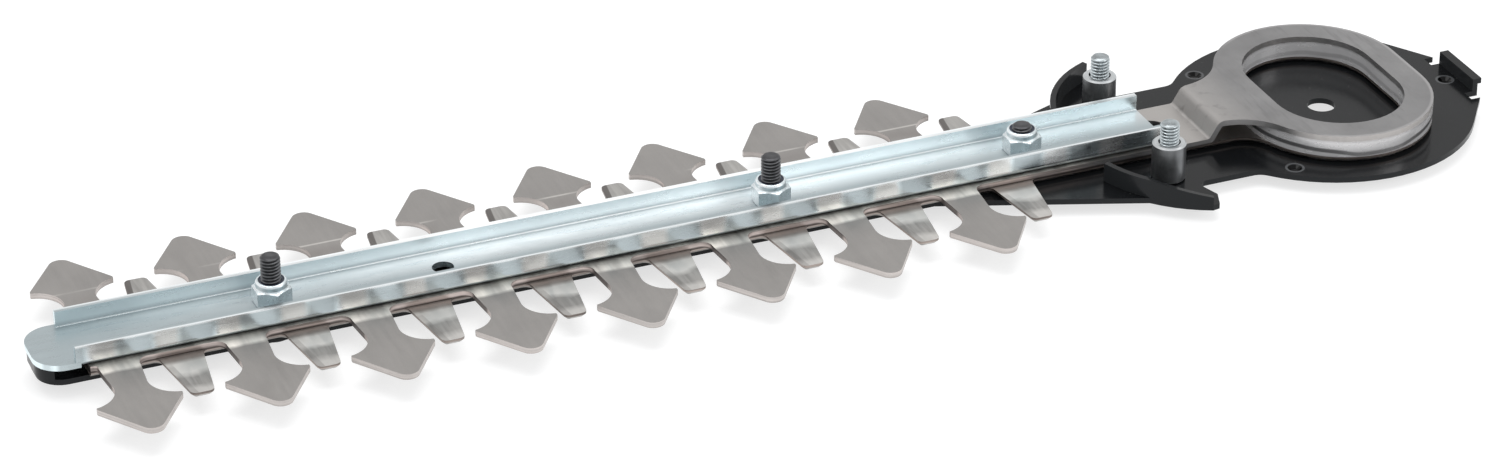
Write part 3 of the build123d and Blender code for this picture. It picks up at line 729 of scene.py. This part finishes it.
def bolt_surface(node, settings):
    """Bolt as one surface of angle t and height z.

    The socket is a hexagon, the head a drum with a rounded rim, and the shank's radius is
    r - depth * v((z / pitch) - t / 360 degrees), where v runs from 0 on the crest to 1 in the root of a
    60 degree groove. Near the point the radius is also kept inside a quarter ellipse.
    """
    x, y, bottom, top = upright_axis(node)
    low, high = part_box(node)
    columns = 72
    angle = angles_round(columns)

    # head, as radius and height above the bolt's lowest point, from the socket's floor outwards and up
    head_radius = 0.5 * (high[0] - low[0])
    head_height = 2.4 * MM
    rim = 0.9 * MM
    rim_steps = 8
    chamfer = 0.12 * MM
    corner = 0.02 * MM
    socket = hexagon_radius(angle, settings.socket_flats)
    socket_mouth = 1.04 * socket + 0.05 * MM
    socket_depth = 1.3 * MM
    socket_chamfer = 0.15 * MM
    rows = [(socket, socket_depth), (socket, socket_chamfer), (socket_mouth, 0.0)]
    for turn in quarter_turn(rim_steps):
        rows.append((head_radius - rim + rim * math.sin(turn), rim - rim * math.cos(turn)))
    rows.append((head_radius, head_height - chamfer))
    rows.append((head_radius - chamfer, head_height))
    rows.append((SHANK_RADIUS + corner, head_height))
    rows.append((SHANK_RADIUS, head_height + 0.5 * corner))
    head, head_rise = split_rows(rows, columns)

    # thread, which deepens over its first pitch and ends at the rounded point
    pitch = settings.thread_pitch
    rows_a_pitch = 12
    crest_half = pitch / 14
    root_half = pitch / 10
    point_end = 0.62
    steps = int(math.ceil((top - THREAD_START) / (pitch / rows_a_pitch)))
    height = np.linspace(THREAD_START, top, steps)[:, None]
    phase = (height / pitch - angle / (2 * math.pi)) % 1.0
    off_crest = np.abs(phase - 0.5) * pitch
    groove = np.clip((off_crest - crest_half) / (0.5 * pitch - crest_half - root_half), 0, 1)
    start = np.clip((height - THREAD_START) / pitch, 0, 1)
    reach = np.clip((height - (top - settings.point_length)) / settings.point_length, 0, 1)
    point = SHANK_RADIUS * (point_end + (1 - point_end) * np.sqrt(1 - reach**2))
    thread = np.minimum(SHANK_RADIUS - settings.thread_depth * groove * start, point)

    radius = np.vstack([head, thread])
    grid = turned_grid(x, y, radius, np.concatenate([bottom + head_rise, height[:, 0]]))
    socket_floor = [x, y, bottom + socket_depth]
    piece = lay_surface(node + "_threaded", grid, first_pole=socket_floor, last_pole=[x, y, top])
    off_thread = 0.25
    crest = np.full(len(piece.data.vertices), off_thread)
    crest[len(rows) * columns:-2] = ((1 - groove) ** 2 * (1 - reach)).ravel()
    piece.data.attributes.new("crest", "FLOAT", "POINT").data.foreach_set("value", crest)
    return piece


def nut_surface(node, settings):
    """Lock nut as one closed surface of angle t and a loop of rows.

    Outside radius is the least of the hexagon and two flat cones, one from each face, then the collar
    that is rolled over the plastic ring.
    """
    x, y, bottom, top = upright_axis(node)
    columns = 120
    hexagon = hexagon_radius(angles_round(columns), settings.nut_flats)
    height = top - bottom
    bore = 2.02 * MM
    bore_land = 0.25 * MM
    body = 3.6 * MM
    body_steps = 26
    face_inset = 0.12 * MM
    face = 0.5 * settings.nut_flats - face_inset
    cone_slope = 1.9
    collar = 3.15 * MM
    neck = 0.12 * MM
    bend = 0.55 * MM
    bend_steps = 8
    recess = 2.75 * MM
    recess_depth = 1.2 * MM
    lip = 0.98 * recess
    lip_flare = 0.049 * MM
    lip_rise = 0.02 * MM
    lip_depth = 0.25 * MM
    rows = [(bore, 0.0), (bore + bore_land, 0.0)]
    for rise in np.linspace(0, 1, body_steps) * body:
        cone = face + min(rise, body - rise) * cone_slope
        rows.append((np.minimum(hexagon, cone), rise))
    rows.append((collar + neck, body))
    rows.append((collar, body + neck))
    for turn in quarter_turn(bend_steps):
        rows.append((collar - bend + bend * math.cos(turn), height - bend + bend * math.sin(turn)))
    rows.append((lip + lip_flare, height - lip_rise))
    rows.append((lip, height - lip_depth))
    rows.append((recess, height - recess_depth))
    rows.append((bore, height - recess_depth))
    radius, rise = split_rows(rows, columns)
    return lay_surface(node + "_formed", turned_grid(x, y, radius, bottom + rise), closed_rows=True)


# Stage

def background_rays(tree):
    """1 for the rays that see the background's colour, and 0 for those that carry light to the object."""
    rays = tree.nodes.new("ShaderNodeLightPath")
    seen = rays.outputs["Is Camera Ray"]
    for kind in ("Is Glossy Ray", "Is Transmission Ray"):
        either = tree.nodes.new("ShaderNodeMath")
        either.operation = "MAXIMUM"
        tree.links.new(seen, either.inputs[0])
        tree.links.new(rays.outputs[kind], either.inputs[1])
        seen = either.outputs[0]
    return seen


def lay_floor(background):
    """Square just below the object, which keeps its shadow and glows in the background's colour."""
    low = cad_box[0][2] - FLOOR_GAP
    half = FLOOR_HALF
    mesh = bpy.data.meshes.new("studio_floor")
    corners = [(-half, -half, low), (half, -half, low), (half, half, low), (-half, half, low)]
    mesh.from_pydata(corners, [], [(0, 1, 2, 3)])
    floor = bpy.data.objects.new("studio_floor", mesh)
    bpy.context.scene.collection.objects.link(floor)
    s = Shade("white floor", roughness=0.9, specular=0.0)
    s.paint(FLOOR_GREY)
    glow = s.node("ShaderNodeEmission")
    s.feed(glow.inputs["Color"], rgba(background))
    s.feed(glow.inputs["Strength"], s.math("MULTIPLY", background_rays(s.tree), FLOOR_GLOW))
    add = s.node("ShaderNodeAddShader")
    s.feed(add.inputs[0], s.shader.outputs["BSDF"])
    s.feed(add.inputs[1], glow.outputs["Emission"])
    s.feed(s.surface, add.outputs[0])
    mesh.materials.append(s.material)


def set_surroundings(background):
    """Even pale light from all sides, with the background's colour for the rays that see it."""
    world = bpy.data.worlds.new("soft surroundings")
    bpy.context.scene.world = world
    world.use_nodes = True
    tree = world.node_tree
    tree.nodes.clear()
    mix = tree.nodes.new("ShaderNodeMixShader")
    tree.links.new(background_rays(tree), mix.inputs[0])
    for socket, colour, strength in (
        (mix.inputs[1], SKY_COLOUR, SKY_STRENGTH),
        (mix.inputs[2], background, 1.0),
    ):
        light = tree.nodes.new("ShaderNodeBackground")
        light.inputs["Color"].default_value = rgba(colour)
        light.inputs["Strength"].default_value = strength
        tree.links.new(light.outputs[0], socket)
    out = tree.nodes.new("ShaderNodeOutputWorld")
    tree.links.new(mix.outputs[0], out.inputs["Surface"])


def hang_lamp(name, place, aim, size, power):
    """Rectangular lamp at a place, turned towards its aim."""
    data = bpy.data.lights.new(name, "AREA")
    data.shape = "RECTANGLE"
    data.size, data.size_y = size
    data.energy = power
    lamp = bpy.data.objects.new(name, data)
    bpy.context.scene.collection.objects.link(lamp)
    lamp.location = place
    lamp.rotation_euler = (Vector(aim) - Vector(place)).to_track_quat("-Z", "Y").to_euler()


def set_camera(focal_length):
    """Camera that looks along CAMERA_FORWARD, rolled so that CAMERA_RIGHT lies level in the picture."""
    forward = Vector(CAMERA_FORWARD).normalized()
    right = Vector(CAMERA_RIGHT)
    right = (right - right.dot(forward) * forward).normalized()
    up = right.cross(forward)
    turn = Matrix((right, up, -forward)).transposed()
    data = bpy.data.cameras.new("photo_camera")
    data.sensor_fit = "HORIZONTAL"
    data.sensor_width = SENSOR_WIDTH
    data.lens = focal_length
    data.clip_start = CLIP_START
    data.clip_end = CLIP_END
    camera = bpy.data.objects.new("photo_camera", data)
    bpy.context.scene.collection.objects.link(camera)
    camera.matrix_world = Matrix.Translation(CAMERA_PLACE) @ turn.to_4x4()
    bpy.context.scene.camera = camera


# Operators

class BladeFinishSheets(bpy.types.Operator):
    """Puts the finishes on the base plate, guide channel, blades, yoke ring, bushes and sleeves"""
    bl_idname = "hedge_blade.finish_sheets"
    bl_label = "Finish sheets"

    def execute(self, context):
        finish = context.scene.hedge_blade_finish
        coat = black_coat(tuple(finish.black_coat))
        finish_node("base_plate", coat)
        finish_node("tip_spacer", coat)
        finish_node("guide_bar", zinc_channel(tuple(finish.zinc)))
        finish_node("upper_blade", tooth_steel(tuple(finish.tooth_steel), tuple(finish.ring_steel)))
        finish_node("lower_blade", cutter_steel(tuple(finish.cutter_steel)))
        finish_node("upper_yoke_ring", yoke_steel(tuple(finish.ring_steel)))
        oiled = bush_steel(tuple(finish.ring_steel))
        plastic = insert_plastic()
        sleeve = sleeve_steel(tuple(finish.sleeve_steel))
        for name in ("front", "middle", "rear"):
            finish_node("bolt_bush_" + name, oiled)
            finish_node("nut_insert_" + name, plastic)
        for name in ("left", "right"):
            finish_node("mount_sleeve_" + name, sleeve)
        return {"FINISHED"}


class BladeThreadBolts(bpy.types.Operator):
    """Makes the threaded blade bolts and gearbox bolts in place of the plain ones"""
    bl_idname = "hedge_blade.thread_bolts"
    bl_label = "Thread bolts"

    def execute(self, context):
        settings = context.scene.hedge_blade_fasteners
        finish = context.scene.hedge_blade_finish
        dark = oxide_black(tuple(finish.black_oxide))
        zinc = stud_zinc(tuple(finish.nut_zinc))
        for name in (
            "blade_bolt_front",
            "blade_bolt_middle",
            "blade_bolt_rear",
            "mount_bolt_left",
            "mount_bolt_right",
        ):
            piece = bolt_surface(name, settings)
            piece.data.materials.append(dark if name.startswith("blade") else zinc)
            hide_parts(name)
            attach(piece, "bar")
        return {"FINISHED"}


class BladeFormNuts(bpy.types.Operator):
    """Makes the lock nuts with chamfered corners and a rolled collar"""
    bl_idname = "hedge_blade.form_nuts"
    bl_label = "Form lock nuts"

    def execute(self, context):
        settings = context.scene.hedge_blade_fasteners
        zinc = nut_zinc(tuple(context.scene.hedge_blade_finish.nut_zinc))
        for name in ("lock_nut_front", "lock_nut_middle", "lock_nut_rear"):
            piece = nut_surface(name, settings)
            piece.data.materials.append(zinc)
            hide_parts(name)
            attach(piece, "bar")
        return {"FINISHED"}


class BladeSetStage(bpy.types.Operator):
    """Lays the pale floor and sets the soft lamps, the surroundings and the camera"""
    bl_idname = "hedge_blade.set_stage"
    bl_label = "Set stage"

    def execute(self, context):
        stage = context.scene.hedge_blade_stage
        context.scene.view_settings.view_transform = "Standard"
        lay_floor(tuple(stage.background))
        set_surroundings(tuple(stage.background))
        for lamp in LAMPS:
            hang_lamp(*lamp)
        set_camera(stage.focal_length)
        return {"FINISHED"}


class BladePanel(bpy.types.Panel):
    """Settings and steps of the hedge trimmer blade"""
    bl_idname = "VIEW3D_PT_hedge_blade"
    bl_label = "Hedge trimmer blade"
    bl_space_type = "VIEW_3D"
    bl_region_type = "UI"
    bl_category = "Hedge blade"

    def draw(self, context):
        column = self.layout.column()
        for group in (
            context.scene.hedge_blade_fasteners,
            context.scene.hedge_blade_finish,
            context.scene.hedge_blade_stage,
        ):
            for key in group.bl_rna.properties.keys():
                if key not in ("rna_type", "name"):
                    column.prop(group, key)
        for step in STEPS:
            column.operator(step.bl_idname)


GROUPS = (BladeFastenerSettings, BladeFinishSettings, BladeStageSettings)
STEPS = (BladeFinishSheets, BladeThreadBolts, BladeFormNuts, BladeSetStage)


def register():
    for item in GROUPS + STEPS + (BladePanel,):
        bpy.utils.register_class(item)
    bpy.types.Scene.hedge_blade_fasteners = bpy.props.PointerProperty(type=BladeFastenerSettings)
    bpy.types.Scene.hedge_blade_finish = bpy.props.PointerProperty(type=BladeFinishSettings)
    bpy.types.Scene.hedge_blade_stage = bpy.props.PointerProperty(type=BladeStageSettings)


def unregister():
    del bpy.types.Scene.hedge_blade_stage
    del bpy.types.Scene.hedge_blade_finish
    del bpy.types.Scene.hedge_blade_fasteners
    for item in reversed(GROUPS + STEPS + (BladePanel,)):
        bpy.utils.unregister_class(item)


def main():
    register()
    bpy.ops.hedge_blade.finish_sheets()
    bpy.ops.hedge_blade.thread_bolts()
    bpy.ops.hedge_blade.form_nuts()
    bpy.ops.hedge_blade.set_stage()


if __name__ == "__main__":
    main()
